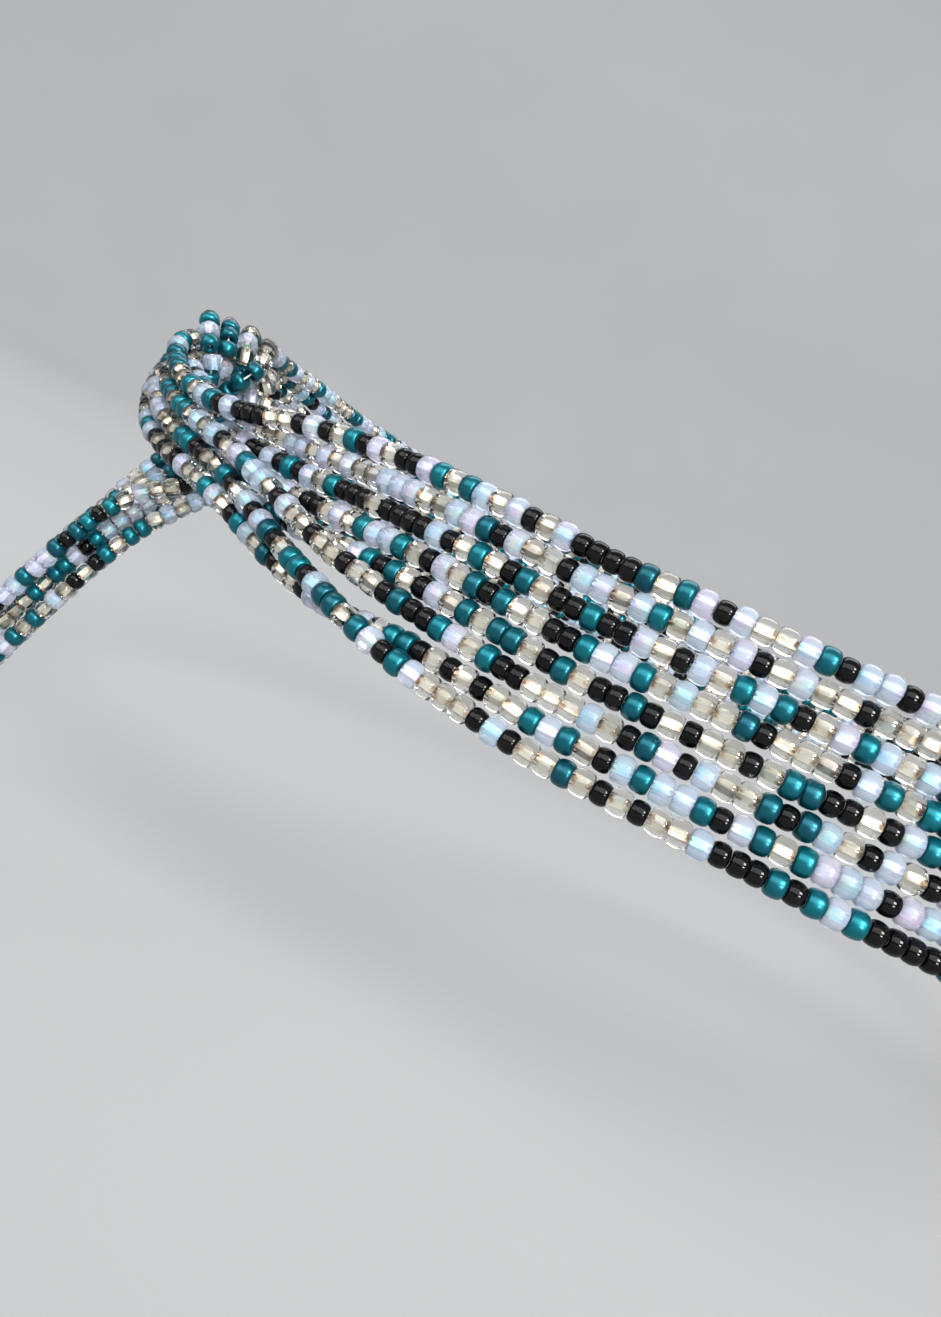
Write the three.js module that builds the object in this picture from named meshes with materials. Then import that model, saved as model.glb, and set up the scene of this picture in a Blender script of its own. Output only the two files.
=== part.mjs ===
// Waist beads: four long strings of seed beads, each doubled into two strands, so that eight strands lie
// side by side around the waist. At the wearer's side the doubled ends make an eye, the other ends pass
// over it, turn back through it and hang down over the hip as a tail. Each strand is one solid tube.
// Millimetres. +Z is up, the origin is the middle of the waist, -Y is the wearer's front, and the
// knot is at -X. A place near the body is given as
//   along:  distance along the waist line from the knot, positive towards the front
//   out:    distance outwards from the line of a strand that lies on the skin
//   height: distance above the middle of the band

import * as THREE from 'three';

// Driving dimensions
const STRAND_DIAMETER = 2.9;
const STRAND_SPACING = 3.35;     // centre to centre where strands touch
const BAND_SPACING = 3.43;       // centre to centre where they lie flat
const WAIST_HALF_WIDTH = 148;    // to the centres of the strands
const WAIST_HALF_DEPTH = 104;
const HIP_SLOPE = 0.15;          // how much wider the body is for each millimetre down
const JOIN_GAP = 0.3;            // between the two strands of a string where they meet
const SIDES = 8;

// Where the worked-out stretches of a strand end and the plain ones begin
const NEAR_END = 96;
const FAR_END = -64;
const FAR_RISE = 9;              // how much higher the band lies beside the knot on its far side
const FAR_RISE_END = -230;

const STRAND_COUNT = 8;
const STRINGS = [[1, 8], [2, 5], [3, 6], [4, 7]];   // the two strands of each string

// The band near the knot: height of each strand at four places along the waist, and how far it is lifted
// there where it lies over its neighbours. In the turn, across is a strand's place from the lowest to
// the highest and layer its place from the inside of the turn outwards.
const BAND_ALONG = [NEAR_END, 80, 62, 47];
const BAND = [
  { heights: [12.1, 13.1, 13.2, 12.8], lift: [0, 0, 0, 0], across: 5.1, layer: 1.7 },
  { heights: [8.7, 9.6, 9.7, 9.5], lift: [0, 0, 0, 1.2], across: 5.1, layer: -1.7 },
  { heights: [5.2, 6.2, 6.3, 6.1], lift: [0, 0, 0, 0.4], across: 1.7, layer: -1.7 },
  { heights: [1.7, 2.8, 2.7, 2.4], lift: [0, 0, 0, 0.6], across: -1.7, layer: -1.7 },
  { heights: [-1.8, -0.6, -1.2, -1.6], lift: [0, 0, 0, 0], across: -5.1, layer: -1.7 },
  { heights: [-5.2, -4.0, -1.8, 0.3], lift: [0, 0.6, 3.2, 3.4], across: 1.7, layer: 1.7 },
  { heights: [-8.7, -7.6, -9.0, -8.2], lift: [0, 0, 0, 0], across: -5.1, layer: 1.7 },
  { heights: [-12.1, -10.4, -6.6, -4.6], lift: [0, 1.6, 3.2, 2.6], across: -1.7, layer: 1.7 },
];

// The middle line of the eight strands as they turn over the eye and come back under themselves.
const TURN = [
  { along: 36, out: 4.5, height: 3.5 },
  { along: 24, out: 9, height: 4 },
  { along: 13, out: 13, height: 5.5 },
  { along: 5, out: 14.8, height: 9 },
  { along: 0.5, out: 13.8, height: 14.4 },
  { along: -2.5, out: 8.6, height: 18 },
  { along: -4, out: 2.6, height: 16 },
  { along: -4, out: 0.3, height: 9 },
  { along: -3, out: 1, height: 2 },
  { along: 0, out: 6, height: -4 },
];

// The eye: where each string's upper and lower strands cross over and under the turn, and how far
// forward the string folds.
const EYE_BACK = -9;             // the straight part of the eye, along the waist
const EYE_FRONT = 3;
const EYE = [
  { upperOut: 3.5, lowerOut: 6.3, lowerHeight: 8.2, fold: 9.5 },
  { upperOut: 6.9, lowerOut: 6.3, lowerHeight: 11.5, fold: 6.5 },
  { upperOut: 10.3, lowerOut: 9.6, lowerHeight: 11.5, fold: 6.5 },
  { upperOut: 13.7, lowerOut: 9.6, lowerHeight: 8.2, fold: 9.5 },
];
const EYE_TOP = 22;

// The hanging tail: its middle line, and the place of each strand in it.
const TAIL = [
  { along: 4, out: 11.6, height: -11 },
  { along: 5, out: 15.2, height: -19 },
  { along: 4, out: 18.8, height: -27.5 },
  { along: 3, out: 22.8, height: -37 },
];
const TAIL_ROW = 2.8;
const TAIL_PLACES = [
  { along: 3.2, row: -1 }, { along: 3.2, row: 1 }, { along: 0, row: 1 }, { along: -1.6, row: 0 },
  { along: -3.2, row: 1 }, { along: 1.6, row: 0 }, { along: -3.2, row: -1 }, { along: 0, row: -1 },
];
const TAIL_ENDS = [-58, -54, -61, -56, -52, -60, -55, -57];   // height of each strand's free end

// --- The body's surface -------------------------------------------------------------------------

const WAIST_STEPS = 4000;
const waistAngles = [];
const waistLengths = [];
for (let i = 0; i <= WAIST_STEPS; i += 1) {
  const angle = Math.PI + 2 * Math.PI * i / WAIST_STEPS;
  const step = i === 0 ? 0 : Math.hypot(
    WAIST_HALF_WIDTH * (Math.cos(angle) - Math.cos(waistAngles[i - 1])),
    WAIST_HALF_DEPTH * (Math.sin(angle) - Math.sin(waistAngles[i - 1])),
  );
  waistAngles.push(angle);
  waistLengths.push(i === 0 ? 0 : waistLengths[i - 1] + step);
}
const WAIST_LENGTH = waistLengths[WAIST_STEPS];

function waistAngle(along) {
  const wanted = ((along % WAIST_LENGTH) + WAIST_LENGTH) % WAIST_LENGTH;
  let low = 0;
  let high = WAIST_STEPS;
  while (high - low > 1) {
    const middle = (low + high) >> 1;
    if (waistLengths[middle] <= wanted) low = middle;
    else high = middle;
  }
  const part = (wanted - waistLengths[low]) / (waistLengths[high] - waistLengths[low]);
  return waistAngles[low] + part * (waistAngles[high] - waistAngles[low]);
}

// The point at a place near the body.
function bodyPoint(along, out, height) {
  const angle = waistAngle(along);
  const normal = new THREE.Vector3(
    Math.cos(angle) / WAIST_HALF_WIDTH, Math.sin(angle) / WAIST_HALF_DEPTH, 0,
  ).normalize();
  const base = new THREE.Vector3(
    WAIST_HALF_WIDTH * Math.cos(angle), WAIST_HALF_DEPTH * Math.sin(angle), height,
  );
  return base.addScaledVector(normal, out);
}

// How far out a strand that lies on the skin is, at a height.
function skinOut(height) {
  return -HIP_SLOPE * height;
}

// --- Guide lines --------------------------------------------------------------------------------

// One strand along the flat band.
function bandGuide(strand) {
  const row = BAND[strand - 1];
  return BAND_ALONG.map((along, i) => {
    const height = row.heights[i];
    return bodyPoint(along, row.lift[i] + skinOut(height), height);
  });
}

// The same strand through the turn, at its place beside the middle line.
function turnGuide(strand) {
  const { across, layer } = BAND[strand - 1];
  const middles = TURN.map(({ along, out, height }) => bodyPoint(along, out, height));
  const normal = new THREE.Vector3(-1, 0, 0);
  return middles.map((middle, i) => {
    const before = middles[Math.max(0, i - 1)];
    const after = middles[Math.min(middles.length - 1, i + 1)];
    const tangent = after.clone().sub(before).normalize();
    normal.addScaledVector(tangent, -normal.dot(tangent)).normalize();
    const side = tangent.clone().cross(normal);
    return middle.clone().addScaledVector(side, across).addScaledVector(normal, layer);
  });
}

// The same strand down the tail to its free end.
function tailGuide(strand) {
  const place = TAIL_PLACES[strand - 1];
  const end = TAIL_ENDS[strand - 1];
  const last = TAIL[TAIL.length - 1];
  const before = TAIL[TAIL.length - 2];
  const part = (last.height - end) / (before.height - last.height);
  const tip = {
    along: last.along + (last.along - before.along) * part,
    out: last.out + (last.out - before.out) * part,
    height: end,
  };
  return [...TAIL, tip].map((station) => bodyPoint(
    station.along + place.along,
    station.out + place.row * TAIL_ROW,
    station.height + place.row * TAIL_ROW * 0.4,
  ));
}

function farHeight(strand, along) {
  const part = THREE.MathUtils.smoothstep(-along, 0, -FAR_RISE_END);
  return ((STRAND_COUNT + 1) / 2 - strand) * BAND_SPACING + FAR_RISE * (1 - part);
}

// One strand of the far band, from the skin up to the eye.
function farGuide(strand, out, height) {
  const level = farHeight(strand, FAR_END);
  return [[FAR_END, 0], [-50, 0], [-36, 0.3], [-22, 0.8]].map(([along, part]) => bodyPoint(
    along,
    skinOut(level) + part * (out - skinOut(level)),
    level + part * (height - level),
  ));
}

// A string's line on the far side: in along its upper strand, round the eye and back along its lower one.
function eyeGuide(pair, string) {
  const { upperOut, lowerOut, lowerHeight, fold } = EYE[string];
  const [upper, lower] = pair;
  return [
    ...farGuide(upper, upperOut, EYE_TOP),
    bodyPoint(EYE_BACK, upperOut, EYE_TOP),
    bodyPoint(EYE_FRONT, upperOut, EYE_TOP),
    bodyPoint(fold, (upperOut + lowerOut) / 2, (EYE_TOP + lowerHeight) / 2),
    bodyPoint(EYE_FRONT, lowerOut, lowerHeight),
    bodyPoint(EYE_BACK, lowerOut, lowerHeight),
    ...farGuide(lower, lowerOut, lowerHeight).reverse(),
  ];
}

// --- Settling the strands against each other ------------------------------------------------------

const NODE_SPACING = 1.2;
const GUIDED_ROUNDS = 500;
const FREE_ROUNDS = 400;         // last rounds, in which the guide no longer pulls
const PAIRING_ROUNDS = 10;       // how often neighbours are looked for again
const PAIRING_REACH = 3;
const SEPARATING_PASSES = 3;
const GUIDE_PULL = 0.01;
const STIFFNESS = 0.3;
const OWN_REACH = 8;             // nodes along the same strand that never push each other

function lineThrough(points) {
  const curve = new THREE.CatmullRomCurve3(points, false, 'centripetal');
  curve.arcLengthDivisions = 1200;
  const steps = Math.round(curve.getLength() / NODE_SPACING);
  return curve.getSpacedPoints(steps);
}

// The place along the waist and the outward offset of a point, found on the ellipse.
function placeOf(point) {
  let angle = Math.atan2(point.y / WAIST_HALF_DEPTH, point.x / WAIST_HALF_WIDTH);
  for (let i = 0; i < 3; i += 1) {
    const dx = point.x - WAIST_HALF_WIDTH * Math.cos(angle);
    const dy = point.y - WAIST_HALF_DEPTH * Math.sin(angle);
    const tx = -WAIST_HALF_WIDTH * Math.sin(angle);
    const ty = WAIST_HALF_DEPTH * Math.cos(angle);
    angle += (dx * tx + dy * ty) / (tx * tx + ty * ty);
  }
  const normal = new THREE.Vector3(
    Math.cos(angle) / WAIST_HALF_WIDTH, Math.sin(angle) / WAIST_HALF_DEPTH, 0,
  ).normalize();
  const out = (point.x - WAIST_HALF_WIDTH * Math.cos(angle)) * normal.x
    + (point.y - WAIST_HALF_DEPTH * Math.sin(angle)) * normal.y;
  let turn = angle - Math.PI;
  if (turn < -Math.PI) turn += 2 * Math.PI;
  const index = Math.min(WAIST_STEPS, Math.abs(turn) / (2 * Math.PI) * WAIST_STEPS);
  const along = waistLengths[Math.floor(index)] * Math.sign(turn);
  return { along, out, normal };
}

// Keeps a line smooth, near its guide and with its nodes evenly spaced.
function relax(line, guide, guided) {
  const push = new THREE.Vector3();
  let total = 0;
  for (let i = 1; i < line.length; i += 1) total += line[i].distanceTo(line[i - 1]);
  const rest = total / (line.length - 1);
  for (let i = 2; i < line.length - 2; i += 1) {
    if (guided) line[i].lerp(guide[i], GUIDE_PULL);
    push.copy(line[i - 1]).add(line[i + 1]).multiplyScalar(0.5).sub(line[i]);
    line[i].addScaledVector(push, guided ? STIFFNESS : STIFFNESS / 3);
  }
  for (let i = 1; i < line.length; i += 1) {
    push.copy(line[i]).sub(line[i - 1]);
    const length = push.length();
    push.multiplyScalar(0.5 * (length - rest) / length);
    if (i > 2) line[i - 1].add(push);
    if (i < line.length - 2) line[i].sub(push);
  }
}

function findPairs(nodes) {
  const pairs = [];
  const reach = STRAND_SPACING + PAIRING_REACH;
  for (let i = 0; i < nodes.length; i += 1) {
    const one = nodes[i];
    for (let j = i + 1; j < nodes.length; j += 1) {
      const two = nodes[j];
      if (Math.abs(two.point.x - one.point.x) > reach) continue;
      if (one.owner === two.owner && j - i <= OWN_REACH) continue;
      if (one.point.distanceToSquared(two.point) < reach * reach) pairs.push([one, two]);
    }
  }
  return pairs;
}

function separate(pairs) {
  const push = new THREE.Vector3();
  for (const [one, two] of pairs) {
    push.copy(two.point).sub(one.point);
    const distance = push.length();
    if (distance >= STRAND_SPACING) continue;
    const share = one.fixed || two.fixed ? 1 : 0.5;
    push.multiplyScalar(share * (STRAND_SPACING - distance) / distance);
    if (!one.fixed) one.point.sub(push);
    if (!two.fixed) two.point.add(push);
  }
}

// Moves every line until no two strands are nearer than their spacing and none is inside the skin.
function settle(lines) {
  const guides = lines.map((line) => line.map((point) => point.clone()));
  const nodes = lines.flatMap((line, owner) => line.map((point, index) => (
    { point, owner, fixed: index < 2 || index > line.length - 3 }
  )));
  let pairs = [];
  for (let round = 0; round < GUIDED_ROUNDS + FREE_ROUNDS; round += 1) {
    lines.forEach((line, i) => relax(line, guides[i], round < GUIDED_ROUNDS));
    if (round % PAIRING_ROUNDS === 0) pairs = findPairs(nodes);
    for (let pass = 0; pass < SEPARATING_PASSES; pass += 1) separate(pairs);
    for (const node of nodes) {
      if (node.fixed) continue;
      const place = placeOf(node.point);
      const depth = skinOut(node.point.z) - place.out;
      if (depth > 0) node.point.addScaledVector(place.normal, depth);
    }
  }
}

// --- Strands --------------------------------------------------------------------------------------

const WAIST_STEP = 15;           // lengths of a tube's steps
const LONGEST_STEP_NODES = 6;
const STEP_TURN = 0.22;          // most a tube turns in one step, in radians

const tailLines = BAND.map((row, i) => lineThrough(
  [...bandGuide(i + 1), ...turnGuide(i + 1), ...tailGuide(i + 1)],
));
const eyeLines = STRINGS.map((pair, string) => lineThrough(eyeGuide(pair, string)));
settle([...tailLines, ...eyeLines]);

// Half of a string's line, from the plain band to just short of where it meets the other half, and
// the heading square to both ends there.
function halfLine(line, second) {
  const points = second ? [...line].reverse() : line;
  const middle = (points.length - 1) / 2;
  const meeting = points[Math.floor(middle)].clone().lerp(points[Math.ceil(middle)], 0.5);
  const heading = points[Math.ceil(middle) + 1].clone().sub(points[Math.floor(middle) - 1]).normalize();
  const end = meeting.addScaledVector(heading, -JOIN_GAP / 2);
  return { points: [...points.slice(0, Math.floor(middle)), end], heading };
}

// The plain stretch of a strand round the wearer's front, other side and back.
function waistPoints(strand) {
  const points = [];
  const from = NEAR_END + WAIST_STEP;
  const to = WAIST_LENGTH + FAR_END - WAIST_STEP;
  const steps = Math.round((to - from) / WAIST_STEP);
  const nearHeight = BAND[strand - 1].heights[0];
  for (let i = 0; i <= steps; i += 1) {
    const along = from + (to - from) * i / steps;
    const far = farHeight(strand, along - WAIST_LENGTH);
    const part = THREE.MathUtils.smoothstep(along, NEAR_END, WAIST_LENGTH / 2);
    const height = nearHeight + (far - nearHeight) * part;
    points.push(bodyPoint(along, skinOut(height), height));
  }
  return points;
}

// Fewer points where the line is nearly straight, more where it bends.
function thinned(points) {
  const kept = [points[0]];
  const last = points.length - 1;
  let start = 0;
  while (start < last) {
    const heading = points[start + 1].clone().sub(points[start]);
    let next = start + 1;
    while (next < last && next - start < LONGEST_STEP_NODES) {
      const onward = points[next + 1].clone().sub(points[next]);
      if (heading.angleTo(onward) > STEP_TURN) break;
      next += 1;
    }
    kept.push(points[next]);
    start = next;
  }
  return kept;
}

// A path whose steps are the given points, so that a tube's steps can differ in length.
class SteppedPath extends THREE.Curve {
  constructor(points, endHeading) {
    super();
    this.points = points;
    this.endHeading = endHeading;
  }

  step(part) {
    return Math.round(part * (this.points.length - 1));
  }

  getPointAt(part, target = new THREE.Vector3()) {
    return target.copy(this.points[this.step(part)]);
  }

  getTangentAt(part, target = new THREE.Vector3()) {
    const index = this.step(part);
    if (index === this.points.length - 1) return target.copy(this.endHeading);
    const before = this.points[Math.max(0, index - 1)];
    const after = this.points[Math.min(this.points.length - 1, index + 1)];
    return target.copy(after).sub(before).normalize();
  }
}

// A strand's path from its free end through the turn, round the waist and to the fold of its string.
function strandPath(strand) {
  const string = STRINGS.findIndex((pair) => pair.includes(strand));
  const near = thinned(tailLines[strand - 1]).reverse();
  const { points, heading } = halfLine(eyeLines[string], STRINGS[string][1] === strand);
  return new SteppedPath([...near, ...waistPoints(strand), ...thinned(points)], heading);
}

const section = new THREE.Shape();
for (let i = 0; i < SIDES; i += 1) {
  const angle = 2 * Math.PI * i / SIDES;
  const x = STRAND_DIAMETER / 2 * Math.cos(angle);
  const y = STRAND_DIAMETER / 2 * Math.sin(angle);
  if (i === 0) section.moveTo(x, y);
  else section.lineTo(x, y);
}
section.closePath();

const TEAL = 0x0b6f80;
const SMOKE = 0x2b2f33;
const PEARL = 0xd7dce8;
const SILVER = 0xcfc6b2;
const COLOURS = [PEARL, SILVER, SMOKE, TEAL, SMOKE, SILVER, PEARL, TEAL];

const group = new THREE.Group();
for (let strand = 1; strand <= STRAND_COUNT; strand += 1) {
  const path = strandPath(strand);
  const geometry = new THREE.ExtrudeGeometry(section, {
    steps: path.points.length - 1,
    extrudePath: path,
    bevelEnabled: false,
  });
  const material = new THREE.MeshStandardMaterial({
    color: COLOURS[strand - 1],
    roughness: 0.25,
    metalness: 0.1,
  });
  const mesh = new THREE.Mesh(geometry, material);
  mesh.name = `strand_${strand}`;
  group.add(mesh);
}

export default group;
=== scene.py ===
"""Waist beads: every seed bead and thread of the eight strands, strung along the middle lines of the
strands in CAD. Lengths are in millimetres until they become mesh coordinates, which are in metres."""

import math

import bpy
import numpy as np
from mathutils import Matrix, Vector
from mathutils.kdtree import KDTree


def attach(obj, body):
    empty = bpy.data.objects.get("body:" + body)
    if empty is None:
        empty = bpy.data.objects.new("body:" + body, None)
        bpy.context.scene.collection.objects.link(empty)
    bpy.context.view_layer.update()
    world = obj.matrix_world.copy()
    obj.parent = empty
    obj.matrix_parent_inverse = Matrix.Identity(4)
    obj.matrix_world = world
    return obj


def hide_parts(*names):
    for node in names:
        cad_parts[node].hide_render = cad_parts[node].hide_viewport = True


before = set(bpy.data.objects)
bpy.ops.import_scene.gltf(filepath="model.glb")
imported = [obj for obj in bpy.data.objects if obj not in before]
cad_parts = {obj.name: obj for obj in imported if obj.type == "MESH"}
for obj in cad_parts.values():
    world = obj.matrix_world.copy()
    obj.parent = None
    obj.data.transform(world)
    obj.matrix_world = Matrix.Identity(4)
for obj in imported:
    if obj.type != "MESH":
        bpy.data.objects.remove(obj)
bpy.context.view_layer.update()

MM = 0.001
SIDES = 8                     # of a strand in CAD
STRAND_RADIUS = 1.45 * MM
FRONT_SIDE = -5.0             # the wearer's front is past this on Y
FINE_WITHIN = 0.175           # metres from the camera, within which beads get finer meshes

# The camera: its place, its turns about the vertical, about its own across axis and about its line of
# sight in degrees, and its focal length in pixels of the 941 x 1317 picture
CAMERA = Vector((-134.3, -188.9, 8.3)) * MM
CAMERA_HEADING, CAMERA_TILT, CAMERA_ROLL = -12.5, 83.4, 25.3
PICTURE_WIDTH, PICTURE_HEIGHT = 941, 1317
FOCAL_LENGTH = 1000
CAMERA_TURN = (Matrix.Rotation(math.radians(CAMERA_HEADING), 3, "Z")
               @ Matrix.Rotation(math.radians(CAMERA_TILT), 3, "X")
               @ Matrix.Rotation(math.radians(CAMERA_ROLL), 3, "Z"))

# A bead's length along the thread and diameter in millimetres, how square its shoulders are, and the
# radius of its hole
KINDS = {
    "K": {"name": "black", "length": 2.16, "width": 3.02, "square": 2.12, "hole": 0.47},
    "T": {"name": "teal", "length": 2.32, "width": 3.44, "square": 2.35, "hole": 0.47},
    "C": {"name": "clear", "length": 2.52, "width": 3.3, "square": 2.75, "hole": 0.34},
    "A": {"name": "frosted", "length": 2.50, "width": 3.6, "square": 2.35, "hole": 0.34},
}
LINING = (0.31, 0.38)         # half widths of the square lining, inside and outside
LINING_SHARE = 0.93           # its length as a share of the bead's
THREAD_RADIUS = 0.17
THREAD_SIDES = 6
THREAD_STEP = 1.4
THREAD_START = 0.2            # from the free end of the line to that of the thread
KNOT_START = 0.25             # and to the middle of the stop knot
BEAD_GAP = 0.01
BEAD_CLEARANCE = 0.02         # taken off a bead's length
TAIL_END = 0.9                # from the free end of the line to the first bead
EYE_MARGIN = 0.05             # from the last bead to the end of the line at the eye
EYE_LENGTH = 60               # the end of a strand that is at the eye and has the knot's mix of beads
LINE_STEP = 0.1               # between the points of a strand's middle line

# Corners around a bead and along its profile, near the camera and farther off
FINE = (20, 14)
COARSE = (10, 8)

# How beads vary, as standard deviations: radians of tilt, millimetres off the thread, and shares
TILT = 0.035
OFF_THREAD = 0.03
RADIUS_SPREAD = 0.015
LENGTH_SPREAD = 0.025
OVAL = 0.012
LEAN = 0.02

# The order of the beads along the near band, read from the photo, from where it can be told near
# the knot to the right edge of the picture. A dot is a bead that is hidden in the photo.
ORDER = {
    1: "TCATKAKKKCCKAKCTKACKKATCTACAKCAKKKKTCTAKACCATKAAKA",
    2: "ACACACCAAACCAATKACCKAACATCACAKCACCKCCC",
    3: "KKAKTKACTKKKCKKKKAKCTCKTCKKTKKACKACTATKCATACA",
    4: "CKKCACTAATCKACTKTCCKKTAATCACCTKCCCKATCT",
    5: "CKACTCTTCKTCKKTKCKCCKCTTKKCKAT",
    6: "ATAACKACCKCCKCCKTKKTACTKKCCCACKTAKACCTKTACKACK",
    7: "TAKCKCKACCTACKTACTKCCKAACKA....CKCKCCTATCKATAATKATCTAAAKAA",
    8: "TKKCCTKCAKATKCTTKATTCTAKTACCCKAKCCTCKCKCCAKKKTKTATKKKK",
}
# The shares of the kinds where the order can't be seen: on the band, and in the knot and the tail
MIX = "KKKKKKTTTTCCCCCCAAAAAA"
KNOT_MIX = "KKTTTTCCCCCCCAAAAAA"

# How beads of neighbouring strands are moved off each other
NEST_ROUNDS = 60
NEST_REACH = 4.6              # between the middles of two beads that may touch
NEST_PUSH = 0.3               # most overlap that is answered in one round
NEST_SHARE = 0.25             # of the overlap, for each of the two beads
NEST_STIFFNESS = 0.12         # how far a bead follows the two beside it on its thread
NEST_TAPER = 0.3              # how much less room two beads need where their ends meet
NEST_LIMIT = 0.5              # most that a bead is moved

rng = np.random.default_rng(8)


# ---------------------------------------------------------------- the strands' middle lines

def welded(obj):
    """A node's points, and its triangles with the first of any points that lie in one place."""
    co = [v.co.copy() for v in obj.data.vertices]
    tree = KDTree(len(co))
    for i, p in enumerate(co):
        tree.insert(p, i)
    tree.balance()
    first = [min(i for _, i, _ in tree.find_range(p, 0.02 * MM)) for p in co]
    obj.data.calc_loop_triangles()
    triangles = [[first[v] for v in t.vertices] for t in obj.data.loop_triangles]
    return np.array([p[:] for p in co]), np.array(triangles)


def end_ring(points, triangles):
    """The corners of the lower end cap: its triangles all lie on one circle of the strand's radius."""
    a, b, c = (points[triangles[:, i]] for i in range(3))
    ab, ac = b - a, c - a
    normal = np.cross(ab, ac)
    size = np.maximum(np.sum(normal ** 2, axis=1), 1e-30)[:, None]
    middle = (np.cross(normal, ab) * np.sum(ac ** 2, axis=1)[:, None]
              + np.cross(ac, normal) * np.sum(ab ** 2, axis=1)[:, None]) / (2 * size)
    fits = np.abs(np.linalg.norm(middle, axis=1) - STRAND_RADIUS) < 0.01 * MM
    centres = (a + middle)[fits]
    corners = triangles[fits]
    rings = []
    for centre in centres:
        same = np.linalg.norm(centres - centre, axis=1) < 0.02 * MM
        ring = sorted(set(corners[same].ravel().tolist()))
        if len(ring) == SIDES:
            rings.append((centre[2], ring))
    return min(rings)[1]


def ring_centres(obj):
    """The middles of a strand's rings of corners, from its lower end to its other end."""
    points, triangles = welded(obj)
    links = {}
    for t in triangles.tolist():
        for v in t:
            links.setdefault(v, set()).update(t)
    ring = end_ring(points, triangles)
    seen = set(ring)
    centres = []
    while ring:
        centres.append(points[ring].mean(axis=0))
        ring = sorted({n for v in ring for n in links[v]} - seen)
        seen.update(ring)
    return np.array(centres) / MM


def smooth_line(centres, step):
    """A centripetal Catmull-Rom line through the centres, as points every step millimetres."""
    p = np.vstack([2 * centres[0] - centres[1], centres, 2 * centres[-1] - centres[-2]])
    out = []
    points_a_span = 60
    for i in range(1, len(p) - 2):
        p0, p1, p2, p3 = p[i - 1:i + 3]
        t1 = math.sqrt(np.linalg.norm(p1 - p0))
        t2 = t1 + math.sqrt(np.linalg.norm(p2 - p1))
        t3 = t2 + math.sqrt(np.linalg.norm(p3 - p2))
        t = np.linspace(t1, t2, points_a_span, endpoint=False)[:, None]
        a1 = (t1 - t) / t1 * p0 + t / t1 * p1
        a2 = (t2 - t) / (t2 - t1) * p1 + (t - t1) / (t2 - t1) * p2
        a3 = (t3 - t) / (t3 - t2) * p2 + (t - t2) / (t3 - t2) * p3
        b1 = (t2 - t) / t2 * a1 + t / t2 * a2
        b2 = (t3 - t) / (t3 - t1) * a2 + (t - t1) / (t3 - t1) * a3
        out.append((t2 - t) / (t2 - t1) * b1 + (t - t1) / (t2 - t1) * b2)
    out = np.vstack(out + [p[-2:-1]])
    along = np.concatenate([[0], np.cumsum(np.linalg.norm(np.diff(out, axis=0), axis=1))])
    even = np.arange(0, along[-1], step)
    return np.column_stack([np.interp(even, along, out[:, k]) for k in range(3)])


class Line:
    """A strand's middle line, read by the distance along it from its free end."""

    def __init__(self, obj):
        self.points = smooth_line(ring_centres(obj), LINE_STEP)
        self.length = LINE_STEP * (len(self.points) - 1)
        tangents = np.gradient(self.points, axis=0)
        self.tangents = tangents / np.linalg.norm(tangents, axis=1)[:, None]
        bend = np.linalg.norm(np.gradient(self.tangents, axis=0), axis=1) / LINE_STEP
        window = 25
        padded = np.pad(bend, window // 2, mode="edge")
        self.bend = np.convolve(padded, np.ones(window) / window, mode="valid")

    def index(self, s):
        return min(max(int(round(s / LINE_STEP)), 0), len(self.points) - 1)

    def at(self, s):
        i = self.index(s)
        return self.points[i], self.tangents[i]

    def room(self, s):
        """How many times its own length a bead takes in a bend, where its inner edge would meet the next."""
        most, share, bead_radius = 0.45, 0.75, 1.5
        return 1 + min(most, share * bead_radius * self.bend[self.index(s)])

    def picture_edge(self):
        """Where along the line the near band leaves the picture on the right."""
        view = (self.points * MM - np.array(CAMERA)) @ np.array(CAMERA_TURN)
        depth = -view[:, 2]
        outside = view[:, 0] / np.maximum(depth, MM) > PICTURE_WIDTH / 2 / FOCAL_LENGTH
        in_front = (depth > 0) & (self.points[:, 1] < FRONT_SIDE)
        return LINE_STEP * int(np.argmax(outside & in_front))


# ---------------------------------------------------------------- stringing

def strung(line, order):
    """Every bead of a strand as (kind, distance along the line, length). The order is strung back from the
    edge of the picture towards the knot, so front is where the beads strung so far begin."""
    edge = line.picture_edge()
    eye = line.length - EYE_LENGTH
    beads = run_of(line, edge, eye, MIX) + run_of(line, eye, line.length - EYE_MARGIN, KNOT_MIX)
    front = edge
    for kind in reversed(order):
        if kind == ".":
            kind = MIX[rng.integers(len(MIX))]
        length = KINDS[kind]["length"]
        taken = length * line.room(front)
        beads.insert(0, (kind, front - taken / 2, length))
        front -= taken
    return run_of(line, TAIL_END, front, KNOT_MIX) + beads


def run_of(line, start, end, mix):
    """Beads of a mix that fill the thread from start to end, spread or squeezed a little to fit."""
    most_growth = 1.04
    beads = []
    s = start
    while s < end:
        kind = mix[rng.integers(len(mix))]
        length = KINDS[kind]["length"] * rng.normal(1, LENGTH_SPREAD)
        taken = length * line.room(s) + BEAD_GAP
        beads.append((kind, s + taken / 2, length, s + taken))
        s += taken
    if s - end > beads[-1][2] / 2 and len(beads) > 1:
        beads.pop()
    fit = (end - start) / (beads[-1][3] - start)
    return [(kind, start + (place - start) * fit, length * min(most_growth, fit))
            for kind, place, length, _ in beads]


# ---------------------------------------------------------------- shapes

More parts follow.
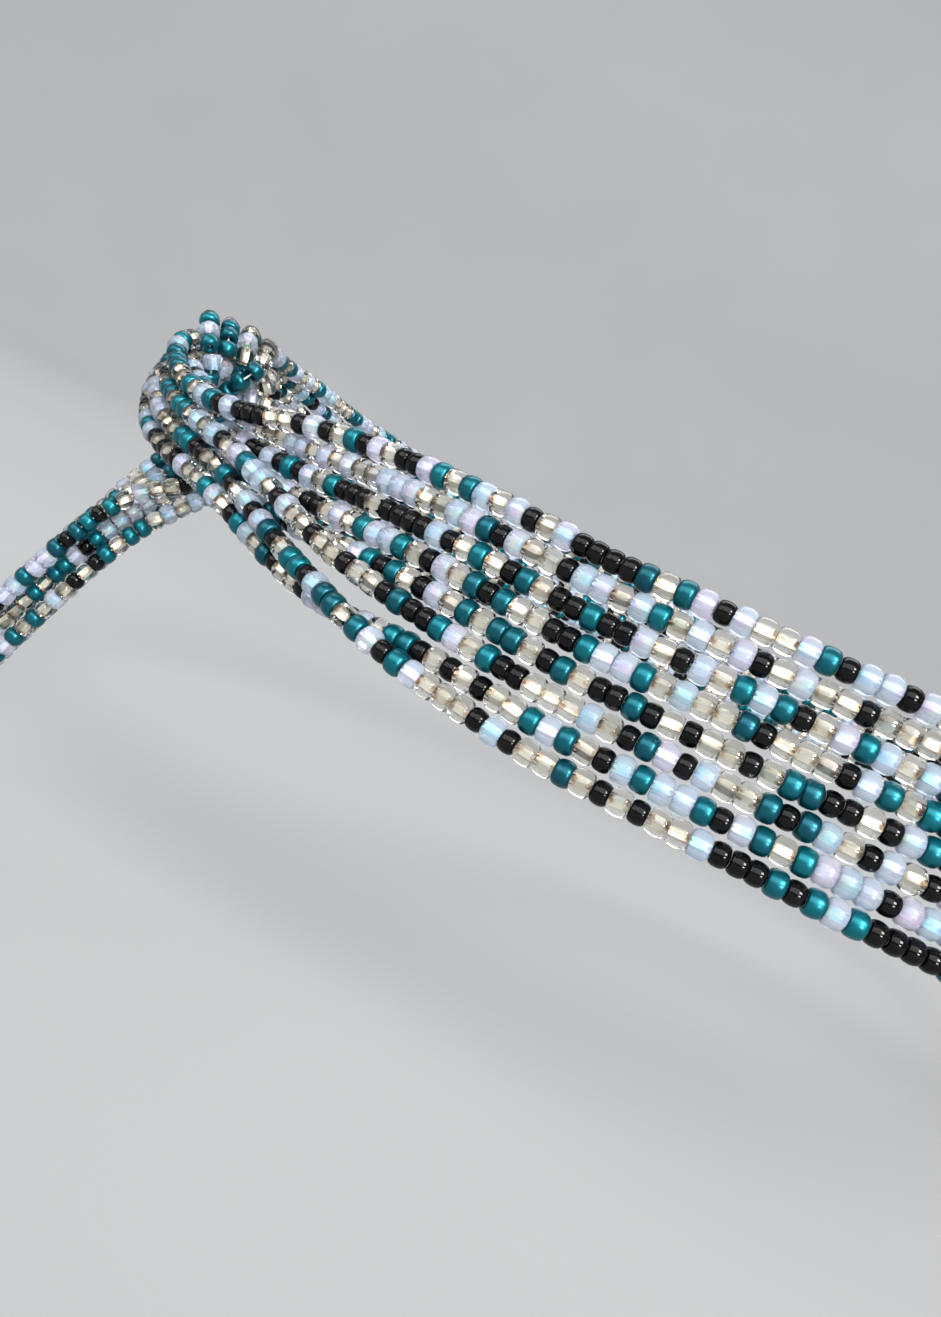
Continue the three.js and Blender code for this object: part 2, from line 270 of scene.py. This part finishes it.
def bead_shape(around, along, square):
    """A bead of unit length and unit outer radius along X, as corners (along, out, angle) and quads.
    Out runs from 0 at the hole to 1 at the widest."""
    profile = []
    for k in range(along):
        t = 2 * math.pi * (k + 0.5) / along
        x = math.copysign(abs(math.cos(t)) ** (2 / square), math.cos(t)) / 2
        r = (1 + math.copysign(abs(math.sin(t)) ** (2 / (square if t < math.pi else 4)), math.sin(t))) / 2
        profile.append((x, r))
    corners = np.array([(x, r, 2 * math.pi * j / around) for j in range(around) for x, r in profile])
    quads = []
    for j in range(around):
        for k in range(along):
            a, b = j * along + k, j * along + (k + 1) % along
            c, d = (j + 1) % around * along + (k + 1) % along, (j + 1) % around * along + k
            quads.append((a, b, c, d))
    return corners, np.array(quads)


def box_tube():
    """A short open square tube of unit length, as corners and quads; its half widths are LINING."""
    corners = []
    for x in (-0.5, 0.5):
        for half in LINING:
            for y, z in ((1, 1), (-1, 1), (-1, -1), (1, -1)):
                corners.append((x, y * half, z * half))
    quads = []
    for j in range(4):
        k = (j + 1) % 4
        inner, outer = (0, 8), (4, 12)
        quads.append((outer[0] + j, outer[0] + k, outer[1] + k, outer[1] + j))
        quads.append((inner[1] + j, inner[1] + k, inner[0] + k, inner[0] + j))
        quads.append((inner[0] + j, inner[0] + k, outer[0] + k, outer[0] + j))
        quads.append((outer[1] + j, outer[1] + k, inner[1] + k, inner[1] + j))
    return np.array(corners), np.array(quads)


class Heap:
    """Many small copies that become one mesh."""

    def __init__(self):
        self.points, self.quads, self.count = [], [], 0
        self.shades, self.alongs = [], []

    def add(self, points, quads, shade, along=0.5):
        """Shade is one value for the whole copy, and along runs from 0 to 1 from end to end of it."""
        self.points.append(points)
        self.quads.append(quads + self.count)
        self.shades.append(np.full(len(points), shade))
        self.alongs.append(np.broadcast_to(along, len(points)))
        self.count += len(points)

    def piece(self, name, material, smooth=True):
        mesh = bpy.data.meshes.new(name)
        points = np.vstack(self.points) * MM
        quads = np.vstack(self.quads)
        mesh.vertices.add(len(points))
        mesh.vertices.foreach_set("co", points.astype(np.float32).ravel())
        mesh.loops.add(quads.size)
        mesh.loops.foreach_set("vertex_index", quads.astype(np.int32).ravel())
        mesh.polygons.add(len(quads))
        mesh.polygons.foreach_set("loop_start", np.arange(0, quads.size, 4, dtype=np.int32))
        mesh.update(calc_edges=True)
        mesh.validate()
        mesh.polygons.foreach_set("use_smooth", np.full(len(mesh.polygons), smooth))
        for label, values in (("shade", self.shades), ("along", self.alongs)):
            attribute = mesh.attributes.new(label, "FLOAT", "POINT")
            attribute.data.foreach_set("value", np.concatenate(values).astype(np.float32))
        mesh.materials.append(material)
        obj = bpy.data.objects.new(name, mesh)
        bpy.context.scene.collection.objects.link(obj)
        return obj


def frame_at(place, tangent, roll):
    """The directions along, out and across of a bead at a place on a strand, and the place."""
    along = Vector(tangent).normalized()
    out = along.orthogonal().normalized()
    out.rotate(Matrix.Rotation(roll, 3, along))
    return np.array([along[:], out[:], along.cross(out)[:]]), np.array(place)


SHAPES = {
    (kind, near): bead_shape(*(FINE if near else COARSE), data["square"])
    for kind, data in KINDS.items() for near in (True, False)
}
BOX_TUBE = box_tube()


def nestled(beads):
    """The beads with those of neighbouring strands moved off each other, and the ones beside them on the
    thread giving way a little too. A bead is (strand, kind, place, tangent, length)."""
    first = np.array([bead[2] for bead in beads])
    moved = np.zeros_like(first)
    tangents = np.array([bead[3] for bead in beads])
    radii = np.array([KINDS[bead[1]]["width"] / 2 for bead in beads])
    lengths = np.array([bead[4] for bead in beads])
    strands = np.array([bead[0] for bead in beads])
    inner = np.nonzero((strands[2:] == strands[1:-1]) & (strands[:-2] == strands[1:-1]))[0] + 1
    tree = KDTree(len(beads))
    for i, place in enumerate(first):
        tree.insert(place, i)
    tree.balance()
    pairs = np.array([(i, j) for i, place in enumerate(first)
                      for _, j, _ in tree.find_range(place, NEST_REACH)
                      if i < j and strands[i] != strands[j]])
    one, two = pairs.T
    for _ in range(NEST_ROUNDS):
        places = first + moved
        between = places[two] - places[one]
        same_way = np.sign(np.sum(tangents[one] * tangents[two], axis=1))[:, None]
        axis = tangents[one] + tangents[two] * same_way
        axis /= np.maximum(np.linalg.norm(axis, axis=1), 1e-6)[:, None]
        slip = np.sum(between * axis, axis=1)
        across = between - axis * slip[:, None]
        apart = np.maximum(np.linalg.norm(across, axis=1), 1e-6)
        reach = np.clip(np.abs(slip) / (lengths[one] + lengths[two]) * 2, 0, 1)
        need = (radii[one] + radii[two]) * (1 - NEST_TAPER * reach ** 3) * (reach < 1)
        push = across / apart[:, None] * (np.clip(need - apart, 0, NEST_PUSH) * NEST_SHARE)[:, None]
        np.add.at(moved, one, -push)
        np.add.at(moved, two, push)
        moved[inner] += NEST_STIFFNESS * (moved[inner - 1] + moved[inner + 1] - 2 * moved[inner])
        moved /= np.maximum(np.linalg.norm(moved, axis=1) / NEST_LIMIT, 1)[:, None]
    return [(*bead[:2], place, *bead[3:]) for bead, place in zip(beads, first + moved)]


def add_bead(heap, linings, kind, place, tangent, length):
    """One bead, a little tilted, oval, lopsided and off its size, and its square lining if it has one."""
    near = (Vector(place) * MM - CAMERA).length < FINE_WITHIN
    tilt = rng.normal(0, TILT, 3)
    axes, centre = frame_at(place, np.array(tangent) + tilt, rng.uniform(0, 2 * math.pi))
    centre = centre + axes[1] * rng.normal(0, OFF_THREAD)
    corners, quads = SHAPES[kind, near]
    radius = KINDS[kind]["width"] / 2 * rng.normal(1, RADIUS_SPREAD)
    oval = rng.normal(0, OVAL)
    lean = rng.normal(0, LEAN)
    hole = KINDS[kind]["hole"]
    r = hole + (radius - hole) * corners[:, 1]
    y = r * np.cos(corners[:, 2]) * (1 + oval)
    z = r * np.sin(corners[:, 2]) * (1 - oval)
    x = corners[:, 0] * (length - BEAD_CLEARANCE) * (1 + lean * y / radius)
    shade = rng.uniform()
    heap.add(centre + np.column_stack([x, y, z]) @ axes, quads, shade, corners[:, 0] + 0.5)
    if kind in LININGS:
        corners, quads = BOX_TUBE
        local = corners * np.array([length * LINING_SHARE, 1, 1])
        linings.add(centre + local @ axes, quads, shade, corners[:, 0] + 0.5)


def thread_tube(points):
    """A thread through points along a strand with closed ends, as corners and quads."""
    around = THREAD_SIDES
    tangents = np.gradient(points, axis=0)
    side = np.cross(tangents[0], [0.3, 0.2, 1.0])
    rings = []
    for centre, tangent in zip(points, tangents):
        tangent = tangent / np.linalg.norm(tangent)
        side = side - tangent * np.dot(side, tangent)
        side = side / np.linalg.norm(side)
        up = np.cross(tangent, side)
        for j in range(around):
            angle = 2 * math.pi * j / around
            rings.append(centre + THREAD_RADIUS * (math.cos(angle) * side + math.sin(angle) * up))
    quads = []
    for i in range(len(points) - 1):
        for j in range(around):
            k = (j + 1) % around
            a, b = i * around, (i + 1) * around
            quads.append((a + j, a + k, b + k, b + j))
    last = (len(points) - 1) * around
    for base, flip in ((0, True), (last, False)):
        for a, b, c, d in ((0, 1, 2, 3), (0, 3, 4, 5)):        # the six corners of an end as two quads
            quad = [base + a, base + b, base + c, base + d]
            quads.append(tuple(reversed(quad)) if flip else tuple(quad))
    return np.array(rings), np.array(quads)


def stop_knot(line):
    """The small thread knot under the last bead of a free end: an overhand knot drawn tight."""
    centre, tangent = line.at(KNOT_START)
    tangent = -tangent
    side = np.cross(tangent, [0.0, 1.0, 0.3])
    side = side / np.linalg.norm(side)
    up = np.cross(tangent, side)
    around, along, radius = 6, 36, 0.2
    path = []
    for i in range(along):
        t = 2 * math.pi * i / along
        out = 0.32 + 0.12 * math.cos(3 * t)
        path.append(centre + side * out * math.cos(2 * t) + up * out * math.sin(2 * t)
                    + tangent * 0.22 * math.sin(3 * t))
    path = np.array(path)
    points, quads = [], []
    for i in range(along):
        ahead = path[(i + 1) % along] - path[i - 1]
        ahead = ahead / np.linalg.norm(ahead)
        one = np.cross(ahead, path[i] - centre)
        one = one / np.linalg.norm(one)
        two = np.cross(ahead, one)
        for j in range(around):
            angle = 2 * math.pi * j / around
            points.append(path[i] + radius * (math.cos(angle) * one + math.sin(angle) * two))
        for j in range(around):
            k = (j + 1) % around
            a, b = i * around, (i + 1) % along * around
            quads.append((a + j, b + j, b + k, a + k))
    return np.array(points), np.array(quads)


# ---------------------------------------------------------------- materials

def material(name, **values):
    """A material, its node tree and its shader, with values for the shader's sockets."""
    mat = bpy.data.materials.new(name)
    mat.use_nodes = True
    shader = mat.node_tree.nodes["Principled BSDF"]
    for key, value in values.items():
        shader.inputs[key.replace("_", " ")].default_value = value
    return mat, mat.node_tree, shader


def new_node(tree, kind, **values):
    """A node with values for its sockets, or else for its own settings."""
    node = tree.nodes.new(kind)
    for key, value in values.items():
        if key in node.inputs:
            node.inputs[key].default_value = value
        else:
            setattr(node, key, value)
    return node


def ramp(tree, factor, stops):
    """A colour ramp's output, from stops of a place and a colour."""
    node = tree.nodes.new("ShaderNodeValToRGB")
    elements = node.color_ramp.elements
    while len(elements) < len(stops):
        elements.new(0.5)
    for element, (place, colour) in zip(elements, stops):
        element.position = place
        element.color = (*colour, 1)
    tree.links.new(factor, node.inputs["Fac"])
    return node.outputs["Color"]


def blend(tree, share, one, two):
    """One value mixed with this share of the other."""
    mix = new_node(tree, "ShaderNodeMix", data_type="FLOAT")
    mix.inputs[0].default_value = share
    tree.links.new(one, mix.inputs[2])
    tree.links.new(two, mix.inputs[3])
    return mix.outputs[0]


def attribute(tree, name):
    return new_node(tree, "ShaderNodeAttribute", attribute_name=name).outputs["Fac"]


def noise(tree, scale):
    coordinates = new_node(tree, "ShaderNodeTexCoord")
    node = new_node(tree, "ShaderNodeTexNoise", Scale=scale, Detail=2.0)
    tree.links.new(coordinates.outputs["Object"], node.inputs["Vector"])
    return node.outputs["Fac"]


def shade_and_noise(tree, scale, share):
    """A value from 0 to 1 that differs from bead to bead and a little over each bead."""
    return blend(tree, share, attribute(tree, "shade"), noise(tree, scale))


def math_node(tree, operation, *inputs):
    node = new_node(tree, "ShaderNodeMath", operation=operation)
    for socket, value in zip(node.inputs, inputs):
        if isinstance(value, (int, float)):
            socket.default_value = value
        else:
            tree.links.new(value, socket)
    return node.outputs[0]


def black_glass():
    mat, tree, shader = material("black glass", Roughness=0.04, Specular_IOR_Level=0.2)
    value = shade_and_noise(tree, 900, 0.4)
    tree.links.new(ramp(tree, value, [(0.2, (0.0005, 0.0005, 0.0008)), (0.8, (0.0025, 0.0025, 0.003))]),
                   shader.inputs["Base Color"])
    return mat


def teal_glass():
    mat, tree, shader = material("teal satin glass", Metallic=0.75, Coat_Weight=0.12, Coat_Roughness=0.14)
    value = shade_and_noise(tree, 700, 0.35)
    tree.links.new(ramp(tree, value, [(0.15, (0.0, 0.060, 0.088)), (0.85, (0.0, 0.130, 0.165))]),
                   shader.inputs["Base Color"])
    tree.links.new(ramp(tree, noise(tree, 2600), [(0.3, (0.29,) * 3), (0.7, (0.37,) * 3)]),
                   shader.inputs["Roughness"])
    return mat


def clear_glass():
    mat, tree, shader = material("clear glass", Transmission_Weight=1.0, Roughness=0.015, IOR=1.5)
    value = shade_and_noise(tree, 500, 0.3)
    tree.links.new(ramp(tree, value, [(0.2, (0.76, 0.74, 0.68)), (0.8, (0.88, 0.87, 0.83))]),
                   shader.inputs["Base Color"])
    return mat


def silver_lining_painted_reflection():
    """Silver with a painted brown reflection towards both ends of the bead, darker nearer an end."""
    mat, tree, shader = material("silver lining with painted reflection", Metallic=0.75, Roughness=0.3)
    end = math_node(tree, "ABSOLUTE", math_node(tree, "SUBTRACT", attribute(tree, "along"), 0.5))
    value = math_node(tree, "ADD", end, math_node(tree, "MULTIPLY", noise(tree, 1700), 0.55))
    # The ramp paints a brown reflection onto the silver: cream in the middle, browner and darker towards
    # both ends
    tree.links.new(ramp(tree, value, [(0.2, (1.0, 0.985, 0.90)), (0.47, (1.0, 0.965, 0.85)),
                                      (0.59, (0.70, 0.56, 0.42)), (0.71, (0.26, 0.16, 0.10))]),
                   shader.inputs["Base Color"])
    return mat


def frosted_glass():
    mat, tree, shader = material("frosted glass", Transmission_Weight=0.77, Roughness=0.22, IOR=1.4,
                                 Thin_Film_Thickness=205.0, Thin_Film_IOR=1.55)
    value = shade_and_noise(tree, 600, 0.35)
    tree.links.new(ramp(tree, value, [(0.15, (0.56, 0.69, 0.82)), (0.5, (0.64, 0.73, 0.84)),
                                      (0.85, (0.72, 0.70, 0.83))]), shader.inputs["Base Color"])
    return mat


def rainbow_lining():
    """A lining with a rainbow coat, whose tints run on from end to end of a bead."""
    mat, tree, shader = material("rainbow lining", Metallic=0.6, Roughness=0.42)
    run = math_node(tree, "ADD", math_node(tree, "MULTIPLY", attribute(tree, "along"), 0.4),
                    math_node(tree, "MULTIPLY", attribute(tree, "shade"), 1.7))
    uneven = math_node(tree, "MULTIPLY", noise(tree, 900), 0.3)
    value = math_node(tree, "FRACT", math_node(tree, "ADD", run, uneven))
    tree.links.new(ramp(tree, value, [(0.0, (0.93, 0.94, 1.0)), (0.2, (1.0, 0.60, 0.82)),
                                      (0.38, (1.0, 0.93, 0.66)), (0.55, (0.52, 1.0, 0.84)),
                                      (0.72, (0.45, 0.82, 1.0)), (0.88, (0.93, 0.94, 1.0))]),
                   shader.inputs["Base Color"])
    return mat


def thread_fibre():
    mat, tree, shader = material("thread", Roughness=0.75)
    coordinates = new_node(tree, "ShaderNodeTexCoord")
    wave = new_node(tree, "ShaderNodeTexWave", Scale=2500.0, Distortion=3.0)
    tree.links.new(coordinates.outputs["Object"], wave.inputs["Vector"])
    tree.links.new(ramp(tree, wave.outputs["Fac"], [(0.0, (0.55, 0.52, 0.46)), (1.0, (0.8, 0.78, 0.72))]),
                   shader.inputs["Base Color"])
    return mat


MATERIALS = {
    "K": (black_glass(), "black_glass"),
    "T": (teal_glass(), "teal_glass"),
    "C": (clear_glass(), "clear_glass"),
    "A": (frosted_glass(), "frosted_glass"),
}
LININGS = {"C": silver_lining_painted_reflection(), "A": rainbow_lining()}
THREAD = thread_fibre()


# ---------------------------------------------------------------- the strands

LINES = {strand: Line(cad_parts[f"strand_{strand}"]) for strand in ORDER}
BEADS = nestled([(strand, kind, *line.at(s), length) for strand, line in LINES.items()
                 for kind, s, length in strung(line, ORDER[strand])])

for strand, line in LINES.items():
    heaps = {kind: (Heap(), Heap()) for kind in KINDS}
    middles = [line.at(THREAD_START)[0]]
    for owner, kind, place, tangent, length in BEADS:
        if owner == strand:
            add_bead(*heaps[kind], kind, place, tangent, length)
            middles.append(place)
    middles.append(line.at(line.length - EYE_MARGIN)[0])
    thread = Heap()
    thread.add(*thread_tube(smooth_line(np.array(middles), THREAD_STEP)), 0.5)
    thread.add(*stop_knot(line), 0.5)
    pieces = [(thread.piece(f"thread_{strand}", THREAD), "thread")]
    for kind, (glass, linings) in heaps.items():
        mat, slot = MATERIALS[kind]
        name = KINDS[kind]["name"]
        pieces.append((glass.piece(f"{name}_beads_{strand}", mat), slot))
        if kind in LININGS:
            pieces.append((linings.piece(f"{name}_linings_{strand}", LININGS[kind], smooth=False), slot))
    for piece, slot in pieces:
        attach(piece, "root")
        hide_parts(f"strand_{strand}")


# ---------------------------------------------------------------- floor, light and camera

def studio_floor():
    """A pale round floor that sweeps up into a wall all round the beads."""
    level, radius, bend, height = -0.075, 2.6, 1.2, 3.4
    around, bend_steps = 96, 16
    turns = [math.pi / 2 * i / bend_steps for i in range(bend_steps + 1)]
    profile = [(radius + bend * math.sin(turn), level + bend * (1 - math.cos(turn))) for turn in turns]
    profile.append((radius + bend, height))
    corners = [(r * math.cos(2 * math.pi * j / around), r * math.sin(2 * math.pi * j / around), z)
               for r, z in profile for j in range(around)]
    faces = [(i * around + j, (i + 1) * around + j, (i + 1) * around + (j + 1) % around,
              i * around + (j + 1) % around) for i in range(len(profile) - 1) for j in range(around)]
    faces.append(tuple(range(around)))
    mesh = bpy.data.meshes.new("floor")
    mesh.from_pydata(corners, [], faces)
    mesh.polygons.foreach_set("use_smooth", [True] * (len(faces) - 1) + [False])
    mat, tree, shader = material("floor", Roughness=0.9, Emission_Color=(0.97, 0.985, 1.0, 1),
                                 Emission_Strength=0.27)
    tree.links.new(ramp(tree, noise(tree, 3.0), [(0.3, (0.150, 0.152, 0.155)),
                                                 (0.7, (0.162, 0.163, 0.165))]),
                   shader.inputs["Base Color"])
    mesh.materials.append(mat)
    obj = bpy.data.objects.new("floor", mesh)
    bpy.context.scene.collection.objects.link(obj)
    return obj


studio_floor()


def area_light(name, place, target, size, power, colour):
    data = bpy.data.lights.new(name, "AREA")
    data.shape = "RECTANGLE"
    data.size, data.size_y = size
    data.energy = power
    data.color = colour
    obj = bpy.data.objects.new(name, data)
    obj.location = place
    obj.rotation_euler = (Vector(target) - Vector(place)).to_track_quat("-Z", "Y").to_euler()
    bpy.context.scene.collection.objects.link(obj)


# Two small lights for the double glint on the black beads, two broad ones that reach the linings
# through the glass, and one for the floor and the wall behind
NEAR_BAND = (-0.08, -0.09, 0.0)
WARM = (1.0, 0.99, 0.97)
area_light("key", (0.29, -1.38, 0.90), NEAR_BAND, (0.44, 0.44), 27, WARM)
area_light("key_below", (0.17, -1.69, 0.22), NEAR_BAND, (0.34, 0.22), 13, WARM)
area_light("front", (-0.56, -1.40, 1.10), NEAR_BAND, (1.8, 1.4), 28, WARM)
area_light("left", (-1.7, -0.5, 0.9), NEAR_BAND, (1.4, 1.2), 18, WARM)
area_light("overhead", (0.3, 1.5, 2.6), (0.4, 2.4, 0.0), (3.6, 2.2), 85, (1.0, 1.0, 1.0))

world = bpy.data.worlds.new("studio")
bpy.context.scene.world = world
world.use_nodes = True
world.node_tree.nodes["Background"].inputs["Color"].default_value = (0.92, 0.96, 1.0, 1)
world.node_tree.nodes["Background"].inputs["Strength"].default_value = 0.42
bpy.context.scene.view_settings.view_transform = "Standard"

camera = bpy.data.objects.new("camera", bpy.data.cameras.new("camera"))
bpy.context.scene.collection.objects.link(camera)
camera.matrix_world = Matrix.Translation(CAMERA) @ CAMERA_TURN.to_4x4()
SENSOR_HEIGHT = 36            # millimetres
camera.data.sensor_fit = "VERTICAL"
camera.data.sensor_height = SENSOR_HEIGHT
camera.data.lens = SENSOR_HEIGHT * FOCAL_LENGTH / PICTURE_HEIGHT
camera.data.clip_start = 0.005
bpy.context.scene.camera = camera
